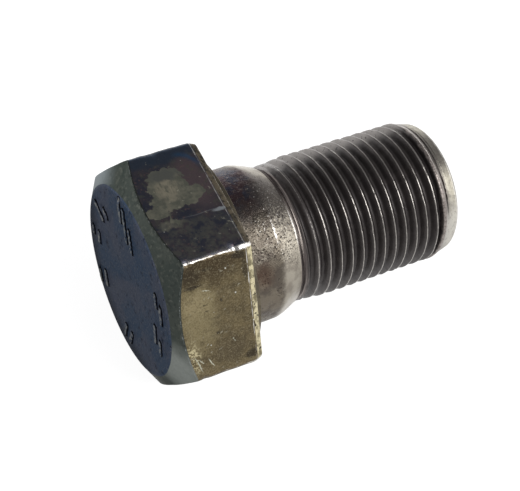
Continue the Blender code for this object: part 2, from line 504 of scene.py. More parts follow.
def head_wear(x, radius, angle, zones):
    """How worn the head is: at its six corners, and at both ends of its flats."""
    hexagon = hexagon_radius(angle)
    sides = np.isin(zones, ["flat", "bevel"])
    corner = np.round(angle / (pi / 3)).astype(int) % 6
    spread = 0.17 + 0.22 * ease((x - 7.2) / 1.6)
    toward_back = 0.72 + 0.28 * ease((x - 7) / 1.6)
    corners = sides * bell(past_corner(angle) * radius, spread) * CORNER_WEAR[corner] * toward_back
    front = np.isin(zones, ["chamfer", "flat"]) * 0.62 * bell(x - chamfer_end(hexagon), 0.09)
    bevel = sides * 0.68 * bell(x - BACK_BEVEL_START, 0.09)
    back_edge = bell(x - HEX_HEIGHT, 0.2) * bell(radius - back_radius(hexagon), 0.25)
    back = np.isin(zones, ["bevel", "under"]) * 0.6 * back_edge
    return np.maximum.reduce([corners, front, bevel, back])


def shank_wear_and_glints(x, angle):
    """How worn the shank is: at both ends of the taper, in the neck and at the point's rim. The taper's two
    lines also carry a painted highlight.
    """
    # Painted highlight: the taper's lines are widest and brightest at 118 and 285 degrees.
    around = 0.3 + 0.7 * np.maximum(bell(turned_from(angle, 118), 0.3), bell(turned_from(angle, 285), 0.5))
    shoulder = around * bell(x - SHOULDER_END + 0.1, 0.06 + 0.1 * around**2)
    taper = around * bell(x - TAPER_END, 0.06 + 0.08 * around**2)
    neck = 0.62 * bell(x - NECK_RING, 0.07)
    rim = 0.75 * bell(x - RIM_START, 0.12)
    return np.maximum.reduce([shoulder, taper, neck, rim])


def crest_wear_and_glint(x, radius, angle):
    """How worn the thread's crests are, wider on the head's side of each; part of the last is widened as a
    painted highlight.
    """
    across = groove_place(x, angle)[0]
    below = blank_radius(x) - radius
    # Painted highlight: the last crest's bright line is widened on the side facing 112 degrees.
    last = 1 + 1.6 * bell(x - LAST_CREST, 0.6) * bell(turned_from(angle, 112), 0.35)
    width = last * np.where(across > 0, 0.07, 0.045)
    reach = 0.12 + 0.3 * bell(x - 20.4, 0.5)
    return bell(0.5 - np.abs(across), width) * ease(1 - below / reach) * ease((x - 19.8) / 0.6)


def surface_values(skin):
    """Named numbers for each point: worn edges with some painted highlights, depth in the thread, how golden
    the flat, the raised marks, painted shade on the thread's flanks on the point's side, and a painted
    reflection on one side."""
    x, radius, angle = skin.stacked()
    zones = np.array(skin.zones)[:, None]
    thread = zones == "thread"
    crests = thread * crest_wear_and_glint(x, radius, angle)
    wear_and_highlight = np.maximum.reduce([head_wear(x, radius, angle, zones), shank_wear_and_glints(x, angle), crests])
    depth = thread * np.clip((blank_radius(x) - radius) / (THREAD_RADIUS - ROOT_RADIUS), 0, 1)
    across = groove_place(x, angle)[0]
    # Painted shade on the flanks on the point's side of each crest.
    flank_shade = thread * ease((-across - 0.02) / 0.16) * ease((across + 0.47) / 0.05) * ease(depth / 0.2)
    # Painted reflection along one side of the thread.
    turn = turned_from(angle, 0)
    painted_reflection = thread * ease((radians(66) - turn) / 0.3) * ease((turn + radians(20)) / 0.6)
    gold = FLAT_GOLD[np.floor((angle / (pi / 3)) % 6).astype(int)]
    marks = (zones == "face") * mark_height(on_surface(x, radius, angle))
    return {"wear_and_highlight": wear_and_highlight, "depth": depth, "gold": gold, "marks": marks, "flank_shade": flank_shade, "painted_reflection": painted_reflection}


def bolt_mesh():
    """(mesh, zone of each face) of the whole bolt."""
    skin = Skin()
    add_face(skin)
    add_head(skin)
    add_turned(skin, BEARING_FACE + FILLET_RADIUS + 0.25, SHOULDER_END, 20, "shoulder")
    add_turned(skin, SHOULDER_END, TAPER_END, 17, "taper")
    add_turned(skin, TAPER_END, HELIX_FROM - 0.05, 8, "neck")
    add_thread(skin)
    add_point(skin)
    points = roughen(skin) * MM
    faces, zones = skin_faces(skin)
    mesh = bpy.data.meshes.new("hex_bolt_skin")
    mesh.from_pydata(points.tolist(), [], faces)
    for name, values in surface_values(skin).items():
        layer = mesh.attributes.new(name, "FLOAT", "POINT")
        flat = np.concatenate([np.broadcast_to(values, (len(skin.x), COLUMNS)).ravel(), [0, 0]])
        layer.data.foreach_set("value", flat.astype(np.float32))
    return mesh, zones


# ---- node helpers


class Nodes:
    """Short names for the shader nodes that every steel here is made of."""

    def __init__(self, name):
        self.material = bpy.data.materials.new(name)
        self.material.use_nodes = True
        self.tree = self.material.node_tree
        self.shader = self.tree.nodes["Principled BSDF"]
        self.place = self.tree.nodes.new("ShaderNodeTexCoord").outputs["Object"]

    def set(self, socket, value):
        if isinstance(value, bpy.types.NodeSocket):
            self.tree.links.new(value, socket)
        elif isinstance(value, tuple) and len(value) == 3 and socket.type == "RGBA":
            socket.default_value = (*value, 1)
        else:
            socket.default_value = value

    def add(self, kind, **inputs):
        node = self.tree.nodes.new(kind)
        for name, value in inputs.items():
            self.set(node.inputs[name], value)
        return node

    def math(self, operation, a, b=0.0, clamp=False):
        node = self.tree.nodes.new("ShaderNodeMath")
        node.operation = operation
        node.use_clamp = clamp
        self.set(node.inputs[0], a)
        self.set(node.inputs[1], b)
        return node.outputs[0]

    def vector(self, operation, *values):
        node = self.tree.nodes.new("ShaderNodeVectorMath")
        node.operation = operation
        for socket, value in zip(node.inputs, values, strict=False):
            self.set(socket, value)
        return node

    def times(self, *values):
        """The product of the values."""
        total = values[0]
        for value in values[1:]:
            total = self.math("MULTIPLY", total, value)
        return total

    def left_of(self, value):
        """What a share from 0 to 1 leaves of 1."""
        return self.math("SUBTRACT", 1.0, value, True)

    def stretch(self, scale, turn=(0, 0, 0), move=(0, 0, 0), place=None):
        """The place on the bolt in metres, turned and scaled."""
        place = place or self.place
        node = self.add("ShaderNodeMapping", Vector=place, Scale=scale, Rotation=turn, Location=move)
        return node.outputs["Vector"]

    def along(self, place):
        """How far along the bolt a place is, in metres."""
        return self.add("ShaderNodeSeparateXYZ", Vector=place).outputs["X"]

    def noise(self, size, detail=4.0, rough=0.55, place=None):
        """Noise whose features are about this many millimetres."""
        place = place or self.place
        scale = 1 / (size * MM)
        node = self.add("ShaderNodeTexNoise", Vector=place, Scale=scale, Detail=detail, Roughness=rough)
        return node.outputs["Fac"]

    def cells(self, size, place=None):
        """Distance to the nearest of scattered points, these many millimetres apart."""
        node = self.add("ShaderNodeTexVoronoi", Vector=place or self.place, Scale=1 / (size * MM))
        return node.outputs["Distance"]

    def between(self, value, low, high):
        """0 below low, 1 above high, and smooth between them. With low above high it falls instead."""
        node = self.add("ShaderNodeMapRange", Value=value)
        node.interpolation_type = "SMOOTHSTEP"
        rising = high > low
        node.inputs["From Min"].default_value = low if rising else high
        node.inputs["From Max"].default_value = high if rising else low
        node.inputs["To Min"].default_value = 0 if rising else 1
        node.inputs["To Max"].default_value = 1 if rising else 0
        return node.outputs["Result"]

    def mix(self, share, a, b):
        """A colour between two others."""
        node = self.tree.nodes.new("ShaderNodeMix")
        node.data_type = "RGBA"
        self.set(node.inputs["Factor"], share)
        self.set(node.inputs["A"], a)
        self.set(node.inputs["B"], b)
        return node.outputs["Result"]

    def clouds(self, size, low, high, detail=4.0, rough=0.55, place=None):
        """Patches of noise of this size in millimetres, from 0 at low to 1 at high."""
        return self.between(self.noise(size, detail, rough, place), low, high)

    def over(self, colour, tone, *shares):
        """The colour with a tone laid over it, as strongly as the product of the shares."""
        return self.mix(self.times(*shares), colour, tone)

    def number(self, share, a, b):
        """A number between two others."""
        node = self.tree.nodes.new("ShaderNodeMix")
        self.set(node.inputs["Factor"], share)
        self.set(node.inputs["A"], a)
        self.set(node.inputs["B"], b)
        return node.outputs["Result"]

    def mesh_value(self, name):
        node = self.tree.nodes.new("ShaderNodeAttribute")
        node.attribute_name = name
        return node.outputs["Fac"]

    def warped(self, size, amount):
        """The place on the bolt, pushed about by noise, so that blots get ragged outlines."""
        noise = self.add("ShaderNodeTexNoise", Vector=self.place, Scale=1 / (size * MM), Detail=4.0)
        spread, middle = [2 * amount * MM] * 3, [-amount * MM] * 3
        push = self.vector("MULTIPLY_ADD", noise.outputs["Color"], spread, middle).outputs[0]
        return self.vector("ADD", self.place, push).outputs[0]

    def facing(self, angle, radius, place=None):
        """Coordinates for one side of the bolt: along it, across that side, and depth below this radius."""
        return self.stretch((1, 1, 1), (radians(270 - angle), 0, 0), (0, 0, radius * MM), place)

    def spot(self, place, centre, radii, edge=0.3):
        """1 inside a blot on one side of the bolt, 0 outside. Its centre and radii are (along, across)."""
        apart = self.vector("SUBTRACT", place, [centre[0] * MM, centre[1] * MM, 0]).outputs[0]
        scaled = self.vector("DIVIDE", apart, [radii[0] * MM, radii[1] * MM, 5 * MM]).outputs[0]
        return self.between(self.vector("LENGTH", scaled).outputs["Value"], 1 + edge, 1 - edge)

    def blot(self, angle, radius, warp, centre, radii, edge):
        """A ragged spot on the side of the bolt that faces this angle. Warp is (size, amount)."""
        return self.spot(self.facing(angle, radius, self.warped(*warp)), centre, radii, edge)

    def scratch(self, place, start, end, width):
        """1 along a straight scratch on one side of the bolt, between two (along, across) places."""
        turn = -atan2(end[1] - start[1], end[0] - start[0])
        middle_x, middle_y = (start[0] + end[0]) / 2, (start[1] + end[1]) / 2
        centre = (middle_x * cos(turn) - middle_y * sin(turn), middle_x * sin(turn) + middle_y * cos(turn))
        turned = self.stretch((1, 1, 1), (0, 0, turn), place=place)
        return self.spot(turned, centre, (hypot(end[0] - start[0], end[1] - start[1]) / 2, width), 0.4)

    def rubbed(self, size, amount, low, high):
        """Where the mesh says an edge is worn, some edges with a painted highlight too, broken up by noise.
        """
        broken = self.math("MULTIPLY_ADD", self.noise(size, 5.0, 0.65), amount)
        broken.node.inputs[2].default_value = -amount / 2
        return self.between(self.math("ADD", self.mesh_value("wear_and_highlight"), broken), low, high)

    def finish(self, colour, roughness, height, depth, metallic=1.0, rim=0.5):
        """Connects the looks. Height gives a bump of depth millimetres, and rim is how strongly the metal
        reflects at glancing angles."""
        self.set(self.shader.inputs["Base Color"], colour)
        self.set(self.shader.inputs["Roughness"], roughness)
        self.set(self.shader.inputs["Metallic"], metallic)
        self.shader.inputs["Specular Tint"].default_value = (rim, rim, rim, 1)
        bump = self.add("ShaderNodeBump", Height=height, Strength=1.0, Distance=depth * MM)
        self.set(self.shader.inputs["Normal"], bump.outputs["Normal"])
        return self.material


# ---- the steels

BARE = (0.66, 0.64, 0.6)


def face_steel():
    """Blue-black oxide on the face, painted shade round the raised marks, and a painted highlight on their
    rubbed tops.
    """
    n = Nodes("face_steel")
    grain = n.noise(0.35, 4.0)
    colour = n.mix(n.clouds(5.0, 0.38, 0.62, 3.0), (0.035, 0.051, 0.08), (0.051, 0.059, 0.082))
    colour = n.over(colour, (0.09, 0.095, 0.11), n.clouds(0.32, 0.53, 0.66, 4.0), 0.7)
    colour = n.over(colour, (0.018, 0.022, 0.034), n.clouds(1.1, 0.45, 0.32, 5.0, 0.7))
    specks = n.times(n.between(n.cells(0.8), 0.2, 0.1), n.clouds(1.7, 0.46, 0.56))
    colour = n.over(colour, (0.006, 0.006, 0.008), specks, 0.8)
    # Painted shade: the face's rim is darker towards its lower side.
    rim = n.between(n.vector("LENGTH", n.warped(2.0, 1.0)).outputs["Value"], 8.2 * MM, 11.0 * MM)
    low = n.between(n.vector("DOT_PRODUCT", n.place, [0, 0.5, -0.87]).outputs["Value"], 1 * MM, 6 * MM)
    colour = n.over(colour, (0.018, 0.02, 0.026), rim, low, 0.7)
    marks = n.mesh_value("marks")
    # Painted shade around the base of each raised mark.
    mark_base_shade = n.times(n.between(marks, 0.05, 0.35), n.between(marks, 0.95, 0.6))
    colour = n.over(colour, (0.003, 0.003, 0.004), mark_base_shade)
    # The marks' tops are rubbed lighter, and carry a painted highlight as well.
    top = n.times(n.between(marks, 0.75, 0.95), n.between(grain, 0.4, 0.6))
    colour = n.over(colour, (0.24, 0.24, 0.22), top, 0.6)
    height = n.math("ADD", grain, n.times(specks, -0.8))
    return n.finish(colour, n.number(grain, 0.38, 0.6), height, 0.025, rim=0.45)


def chamfer_steel():
    """Olive-grey oxide on the chamfer, with a painted highlight on one side and a painted reflection on the
    other.
    """
    n = Nodes("chamfer_steel")
    grain = n.noise(0.3, 4.0)
    colour = n.mix(n.clouds(4.0, 0.35, 0.65), (0.038, 0.045, 0.041), (0.048, 0.054, 0.048))
    colour = n.over(colour, (0.08, 0.085, 0.074), n.clouds(0.5, 0.52, 0.72), 0.7)
    colour = n.over(colour, (0.026, 0.03, 0.028), n.clouds(0.6, 0.44, 0.34), 0.6)
    # Painted highlight on one side of the chamfer.
    painted_gleam = n.blot(18, 12.5, (1.2, 0.6), (1.0, 0.0), (2.4, 5.4), 0.6)
    colour = n.over(colour, (0.22, 0.25, 0.26), painted_gleam, n.number(grain, 0.75, 1.2))
    # Painted reflection on the opposite side of the chamfer.
    pale = n.blot(182, 12.5, (1.2, 0.6), (1.0, 0.0), (2.4, 3.4), 0.6)
    colour = n.over(colour, (0.22, 0.235, 0.22), pale, n.number(grain, 0.6, 1.0))
    colour = n.over(colour, (0.3, 0.32, 0.32), n.rubbed(0.45, 0.9, 0.5, 0.85))
    return n.finish(colour, n.number(grain, 0.34, 0.5), grain, 0.02, rim=0.42)


# The olive blot on the dark flat: the (along, across) centres and radii of its parts and of the holes in it
BLOT_PARTS = [
    ((4.9, -3.95), (2.1, 1.15)),
    ((4.7, -2.2), (2.35, 1.8)),
    ((6.7, -0.8), (1.7, 1.35)),
    ((3.3, -0.6), (1.3, 1.4)),
    ((2.2, 0.3), (1.7, 0.7)),
    ((5.1, -0.1), (1.7, 0.75)),
    ((3.7, 1.1), (0.5, 1.3)),
]
BLOT_HOLES = [
    ((5.5, 1.15), (2.1, 0.72)),
    ((1.9, 1.45), (1.1, 0.5)),
    ((1.9, -2.4), (0.6, 1.3)),
]


def olive_share(n, place):
    """Where a flat is olive: one blot on the dark flat, and patches on the mixed ones."""
    mixed = n.between(n.mesh_value("gold"), 0.05, 0.1)
    share = n.times(n.clouds(4.2, 0.5, 0.62, 5.0, 0.6), mixed, 0.6)
    for centre, radii in BLOT_PARTS:
        share = n.math("MAXIMUM", share, n.spot(place, centre, radii, 0.07))
    for centre, radii in BLOT_HOLES:
        share = n.times(share, n.left_of(n.spot(place, centre, radii, 0.1)))
    faint = n.times(n.spot(place, (3.2, 2.3), (1.5, 0.5), 0.4), 0.6)
    return n.math("MAXIMUM", share, faint)


def olive_tone(n, place):
    """The blot's olive, paler and streaked in its middle and greyer at its top."""
    olive = n.mix(n.clouds(0.8, 0.38, 0.62, 5.0, 0.6), (0.17, 0.175, 0.14), (0.25, 0.245, 0.19))
    core = n.blot(90, FLAT_RADIUS, (0.7, 1.1), (4.7, -2.2), (1.35, 1.45), 0.4)
    streak = n.blot(90, FLAT_RADIUS, (0.8, 0.6), (3.8, 0.1), (0.3, 1.5), 0.5)
    streaky = n.clouds(0.35, 0.36, 0.58, 4.0, 0.6, n.stretch((1, 0.3, 1)))
    pale = n.math("MAXIMUM", core, n.times(streak, 0.35))
    olive = n.over(olive, (0.39, 0.355, 0.265), pale, streaky)
    return n.over(olive, (0.16, 0.165, 0.145), n.spot(place, (5.0, -4.2), (2.0, 0.8), 0.5))


def blue_arc(n, soft):
    """Where a thin blue arc crosses the corner of the dark flat."""
    outer = n.blot(90, FLAT_RADIUS, (0.8, 0.3), (6.6, -3.2), (3.2, 3.7), 0.1)
    inner = n.blot(90, FLAT_RADIUS, (0.8, 0.3), (6.45, -2.8), (3.0, 3.6), 0.1)
    return n.times(outer, n.left_of(inner), n.spot(soft, (8.7, -5.6), (1.7, 1.4), 0.5))


def dark_flat(n):
    """Navy and plum oxide with an olive blot, a blue arc and a scratch."""
    place = n.facing(90, FLAT_RADIUS, n.warped(0.8, 1.0))
    soft = n.facing(90, FLAT_RADIUS, n.warped(1.6, 0.9))
    navy = n.clouds(2.2, 0.4, 0.62, 5.0, 0.6)
    colour = n.mix(navy, (0.05, 0.054, 0.075), (0.085, 0.074, 0.082))
    plum = n.spot(soft, (7.9, -2.2), (1.9, 4.0), 0.4)
    colour = n.over(colour, (0.145, 0.11, 0.115), plum, 0.85)
    green = n.clouds(0.7, 0.52, 0.66, 3.0)
    colour = n.over(colour, (0.12, 0.125, 0.1), green, 0.45)
    specks = n.clouds(0.4, 0.6, 0.7, 3.0)
    colour = n.over(colour, (0.2, 0.13, 0.12), specks, 0.5)
    cloudy = n.clouds(0.9, 0.4, 0.6, 5.0, 0.65)
    lower = n.times(n.spot(soft, (5.6, 5.0), (4.6, 2.7), 0.35), cloudy)
    colour = n.over(colour, (0.125, 0.125, 0.11), lower, 0.7)
    colour = n.over(colour, olive_tone(n, place), olive_share(n, place))
    top = n.spot(soft, (5.4, -7.2), (6.0, 1.6), 0.35)
    colour = n.over(colour, (0.045, 0.062, 0.09), top, 0.85)
    colour = n.over(colour, (0.035, 0.1, 0.2), blue_arc(n, soft), 0.65)
    scratch = n.blot(90, FLAT_RADIUS, (0.5, 0.2), (9.0, 2.15), (0.75, 0.22), 0.5)
    line = n.blot(90, FLAT_RADIUS, (2.0, 0.15), (7.2, 1.95), (2.6, 0.07), 0.5)
    return n.over(colour, (0.42, 0.45, 0.47), n.math("MAXIMUM", n.times(scratch, 0.9), n.times(line, 0.2)))


# Dark stains on the golden flat: their (along, across) centres, radii and shares
GOLDEN_STAINS = [
    ((2.7, -5.6), (1.1, 1.2), 0.6),
    ((2.8, -4.45), (1.05, 0.22), 0.85),
    ((8.6, -6.7), (0.85, 0.45), 0.85),
    ((9.2, -5.1), (0.3, 1.7), 0.6),
    ((9.0, 6.25), (0.8, 0.55), 0.85),
    ((4.7, -6.2), (0.7, 0.2), 0.6),
    ((6.0, -1.85), (0.15, 0.28), 0.8),
    ((4.05, -1.85), (0.35, 0.09), 0.7),
    ((4.2, -1.05), (0.3, 0.09), 0.7),
    ((5.2, 2.1), (0.2, 0.2), 0.8),
    ((5.1, 0.1), (0.7, 0.25), 0.35),
]

# Scratches on the golden flat: the (along, across) places of their ends
GOLDEN_SCRATCHES = [
    ((2.1, 4.4), (2.8, 6.4)),
    ((2.5, 4.8), (3.1, 5.5)),
    ((3.7, 5.1), (4.3, 6.2)),
    ((3.9, -3.7), (4.7, -3.5)),
    ((6.9, 3.4), (7.2, 3.9)),
]


def golden_flat(n):
    """Golden-brown oxide with dark stains, and a painted highlight towards the head's face."""
    place = n.facing(150, FLAT_RADIUS, n.warped(0.6, 0.25))
    soft = n.facing(150, FLAT_RADIUS, n.warped(1.4, 0.8))
    clouds = n.clouds(1.6, 0.38, 0.62, 5.0, 0.65)
    colour = n.mix(clouds, (0.145, 0.114, 0.063), (0.104, 0.083, 0.049))
    # Painted highlight: the flat is lighter towards the head's face, brightest in a smaller patch.
    bright = n.spot(soft, (2.9, -0.6), (2.3, 4.4), 0.5)
    colour = n.over(colour, (0.215, 0.178, 0.099), bright, 0.9)
    painted_gleam = n.spot(soft, (3.0, -2.2), (1.6, 1.3), 0.6)
    colour = n.over(colour, (0.29, 0.24, 0.137), painted_gleam, 0.6)
    # Two broad darker patches towards the flat's long edges.
    colour = n.over(colour, (0.066, 0.049, 0.029), n.spot(soft, (4.6, -6.8), (4.8, 2.2), 0.5))
    colour = n.over(colour, (0.085, 0.068, 0.044), n.spot(soft, (6.6, 4.6), (2.2, 1.5), 0.6), 0.7)
    for centre, radii, share in GOLDEN_STAINS:
        stain = n.spot(place, centre, radii, 0.35)
        colour = n.over(colour, (0.035, 0.029, 0.022), stain, share)
    edge = n.times(n.spot(soft, (1.9, 4.6), (0.8, 1.9), 0.5), n.clouds(0.35, 0.47, 0.57, 4.0))
    colour = n.over(colour, (0.5, 0.44, 0.27), edge)
    mottle = n.noise(0.8, 6.0, 0.65, n.stretch((0.6, 1, 1), place=n.warped(1.5, 1.0)))
    colour = n.over(colour, (0.055, 0.043, 0.026), n.between(mottle, 0.5, 0.3), 0.5)
    colour = n.over(colour, (0.31, 0.27, 0.175), n.between(mottle, 0.54, 0.76), 0.35)
    fine = n.noise(0.17, 3.0)
    colour = n.over(colour, (0.32, 0.28, 0.18), n.between(fine, 0.52, 0.66), 0.3)
    colour = n.over(colour, (0.05, 0.04, 0.025), n.between(fine, 0.48, 0.34), 0.45)
    for start, end in GOLDEN_SCRATCHES:
        line = n.scratch(n.facing(150, FLAT_RADIUS, n.warped(0.6, 0.12)), start, end, 0.07)
        colour = n.over(colour, (0.5, 0.5, 0.4), line, n.between(fine, 0.36, 0.52))
    return colour


def flat_steel():
    """Temper colours on the flats, dark on some and golden on others, with pits and bright edges."""
    n = Nodes("flat_steel")
    grain = n.noise(0.25, 5.0)
    colour = n.mix(n.mesh_value("gold"), dark_flat(n), golden_flat(n))
    slanted = n.stretch((0.16, 1, 1), place=n.stretch((1, 1, 1), (0.7, 0.5, 0.6)))
    scratch = n.clouds(0.4, 0.66, 0.71, 2.0, 0.5, slanted)
    scratch = n.times(scratch, n.clouds(2.5, 0.45, 0.6))
    colour = n.over(colour, (0.4, 0.38, 0.3), scratch, 0.5)
    pits = n.times(n.between(n.cells(1.1), 0.12, 0.05), n.clouds(1.9, 0.56, 0.64))
    colour = n.over(colour, (0.02, 0.017, 0.015), pits, 0.85)
    specks = n.times(n.between(n.cells(1.4), 0.09, 0.05), n.clouds(2.3, 0.5, 0.58))
    colour = n.over(colour, (0.55, 0.55, 0.5), specks)
    worn = n.rubbed(1.1, 1.3, 0.42, 0.8)
    colour = n.over(colour, BARE, worn)
    roughness = n.number(worn, n.number(grain, 0.3, 0.48), 0.26)
    height = n.math("ADD", grain, n.times(n.math("ADD", pits, n.times(scratch, 0.4)), -1.5))
    return n.finish(colour, roughness, height, 0.022, rim=0.7)


def bevel_steel():
    """The worn strip behind the flats."""
    n = Nodes("bevel_steel")
    grain = n.noise(0.3, 5.0, 0.65)
    dark = n.mix(n.mesh_value("gold"), (0.04, 0.036, 0.028), (0.19, 0.165, 0.1))
    bright = n.mix(n.mesh_value("gold"), (0.12, 0.1, 0.07), (0.58, 0.52, 0.34))
    colour = n.mix(n.clouds(0.9, 0.38, 0.58, 4.0, 0.6), dark, bright)
    colour = n.over(colour, (0.03, 0.026, 0.02), n.clouds(0.5, 0.42, 0.34, 4.0))
    colour = n.over(colour, BARE, n.rubbed(0.4, 1.1, 0.5, 0.9))
    return n.finish(colour, n.number(grain, 0.28, 0.5), grain, 0.03, rim=0.7)


def forge_scale(n, taper):
    """(colour, where it is plum): plum on one side of the shoulder, tan on the other, and a grey taper with
    painted shade.
    """
    tan_steel = n.mix(n.clouds(1.5, 0.4, 0.6), (0.15, 0.128, 0.1), (0.095, 0.08, 0.066))
    grey_steel = n.mix(n.clouds(1.8, 0.38, 0.62), (0.33, 0.3, 0.25), (0.22, 0.195, 0.162))
    plum = n.mix(n.clouds(1.6, 0.42, 0.6), (0.055, 0.034, 0.038), (0.036, 0.036, 0.052))
    side = n.blot(72, SHOULDER_RADIUS, (1.6, 0.9), (13.4, 0.0), (3.0, 5.0), 0.35)
    hidden_side = n.spot(n.facing(285, SHOULDER_RADIUS), (13.4, 0), (4, 9))
    dark = n.math("MAXIMUM", side, n.times(n.clouds(7.0, 0.5, 0.6, 2.0), hidden_side))
    colour = n.mix(dark, n.mix(taper, tan_steel, grey_steel), plum)
    # Painted shade across the side of the taper that faces 90 degrees.
    shade = n.blot(90, 9.2, (1.2, 0.6), (17.0, 0.0), (2.2, 3.8), 0.5)
    colour = n.over(colour, (0.085, 0.075, 0.07), shade, 0.85)
    flecks = n.clouds(0.32, 0.54, 0.64, 4.0, 0.6)
    return n.over(colour, (0.15, 0.12, 0.105), flecks, dark, 0.7), dark


def shoulder_steel():
    """Rough, pitted forge scale on the shoulder and a cleaner taper, with painted shade, reflections and
    glints.
    """
    n = Nodes("shoulder_steel")
    grain = n.noise(0.24, 5.0, 0.65)
    taper = n.between(n.along(n.warped(1.4, 0.7)), 15.2 * MM, 16.3 * MM)
    colour, dark = forge_scale(n, taper)
    # Painted shade on the shoulder's side facing 116 degrees.
    dull = n.blot(116, SHOULDER_RADIUS, (1.2, 0.8), (13.2, 0.0), (2.3, 4.2), 0.35)
    colour = n.over(colour, (0.07, 0.06, 0.05), dull, 0.55)
    # Painted reflections: pale patches on the taper at 38 and 192 degrees.
    for angle in (38, 192):
        pale = n.blot(angle, 9.2, (0.8, 0.5), (17.0, 0.0), (1.5, 2.8), 0.4)
        colour = n.over(colour, (0.6, 0.57, 0.52), pale, 0.8)
    rust = n.blot(146, SHOULDER_RADIUS, (0.9, 0.6), (13.0, 0.0), (1.2, 1.4), 0.7)
    colour = n.over(colour, (0.085, 0.04, 0.024), rust, 0.45)
    pitting = n.cells(0.27, n.warped(0.35, 0.14))
    pitted = n.blot(120, 9.2, (1.0, 0.6), (16.4, 0.0), (2.4, 3.8), 0.5)
    here_and_there = n.clouds(1.4, 0.45, 0.6)
    often = n.math("MAXIMUM", pitted, n.times(here_and_there, n.left_of(taper)))
    pits = n.times(n.between(pitting, 0.34, 0.14), often)
    colour = n.over(colour, (0.035, 0.028, 0.025), pits, 0.85)
    # Lighter tops between the pits: cleaner metal, and partly a painted highlight, crowded on the lit side.
    tops = n.times(n.between(pitting, 0.42, 0.66), n.between(grain, 0.44, 0.58), often)
    share = n.math("MAXIMUM", n.times(dull, 0.5), n.number(taper, 0.12, 1.0))
    clean = n.math("SUBTRACT", 0.75, n.times(dark, 0.5))
    colour = n.over(colour, (0.47, 0.43, 0.35), tops, clean, share)
    # Painted highlights: bright bare-metal glints, only on the side the key light reaches.
    glints = n.between(n.cells(0.42, n.warped(0.5, 0.2)), 0.24, 0.12)
    glints = n.times(glints, n.clouds(1.1, 0.42, 0.54))
    lit_side = n.blot(108, 9.2, (1.2, 0.6), (16.4, 0.0), (2.6, 4.6), 0.5)
    colour = n.over(colour, BARE, glints, lit_side, 0.8)
    colour = n.over(colour, BARE, n.rubbed(0.5, 0.8, 0.45, 0.8))
    height = n.math("ADD", grain, n.times(pits, -1.3))
    return n.finish(colour, n.number(grain, 0.24, 0.46), height, 0.05, rim=0.75)


def neck_steel():
    """The undercut behind the thread, with fine turning rings and a painted highlight on one side."""
    n = Nodes("neck_steel")
    grain = n.noise(0.2, 4.0)
    rings = n.noise(0.1, 1.0, 0.5, n.stretch((1, 0.02, 0.02)))
    colour = n.mix(n.between(rings, 0.4, 0.62), (0.04, 0.033, 0.032), (0.19, 0.16, 0.15))
    # Painted highlight on the neck's rings, facing 118 degrees.
    lit = n.blot(118, NECK_RADIUS, (0.6, 0.3), (18.8, 0.0), (3.0, 3.0), 0.5)
    colour = n.over(colour, (0.34, 0.3, 0.27), lit, n.between(rings, 0.35, 0.6))
    colour = n.over(colour, BARE, n.rubbed(0.5, 0.8, 0.45, 0.8))
    return n.finish(colour, n.number(grain, 0.3, 0.45), n.math("ADD", grain, rings), 0.02)


def thread_steel():
    """Black oiled oxide in the thread, crests rubbed to thin bright lines, painted shade and a painted
    reflection.
    """
    n = Nodes("thread_steel")
    grain = n.noise(0.2, 4.0, 0.6)
    depth = n.mesh_value("depth")
    colour = n.mix(n.between(depth, 0.0, 0.6), (0.046, 0.039, 0.037), (0.036, 0.03, 0.029))
    colour = n.over(colour, (0.06, 0.051, 0.048), n.clouds(1.3, 0.45, 0.68), 0.5)
    colour = n.over(colour, (0.022, 0.019, 0.018), n.clouds(0.6, 0.44, 0.34, 5.0, 0.7), 0.7)
    along = n.along(n.warped(0.8, 0.15))
    lead = n.between(along, 19.6 * MM, 19.3 * MM)
    rings = n.noise(0.12, 1.0, 0.5, n.stretch((1, 0.02, 0.02)))
    ringed = n.mix(n.between(rings, 0.4, 0.62), (0.045, 0.037, 0.035), (0.2, 0.17, 0.155))
    colour = n.over(colour, ringed, lead)
    # Painted shade on the flanks on the point's side of each crest.
    colour = n.over(colour, (0.01, 0.008, 0.008), n.mesh_value("flank_shade"), 0.8)
    tail = n.between(along, (GROOVE_LIMIT + 0.04) * MM, (GROOVE_LIMIT + 0.2) * MM)
    band = n.mix(n.between(grain, 0.45, 0.6), (0.28, 0.25, 0.23), (0.13, 0.11, 0.1))
    colour = n.over(colour, band, tail)
    # A painted reflection along one side of the thread, broken by dark pits, with its crests dulled there.
    painted_reflection = n.mesh_value("painted_reflection")
    pitted = n.times(n.clouds(0.45, 0.3, 0.4, 3.0, 0.55), painted_reflection)
    colour = n.over(colour, (0.2, 0.182, 0.17), pitted)
    worn = n.times(n.rubbed(0.35, 0.8, 0.52, 1.0), n.left_of(n.times(painted_reflection, 0.92)))
    colour = n.over(colour, (0.42, 0.395, 0.365), worn)
    n.shader.inputs["Specular IOR Level"].default_value = 0.35
    roughness = n.number(worn, n.number(grain, 0.34, 0.48), 0.24)
    metallic = n.number(n.math("MAXIMUM", worn, tail), 0.35, 1.0)
    return n.finish(colour, roughness, grain, 0.015, metallic, rim=1.0)


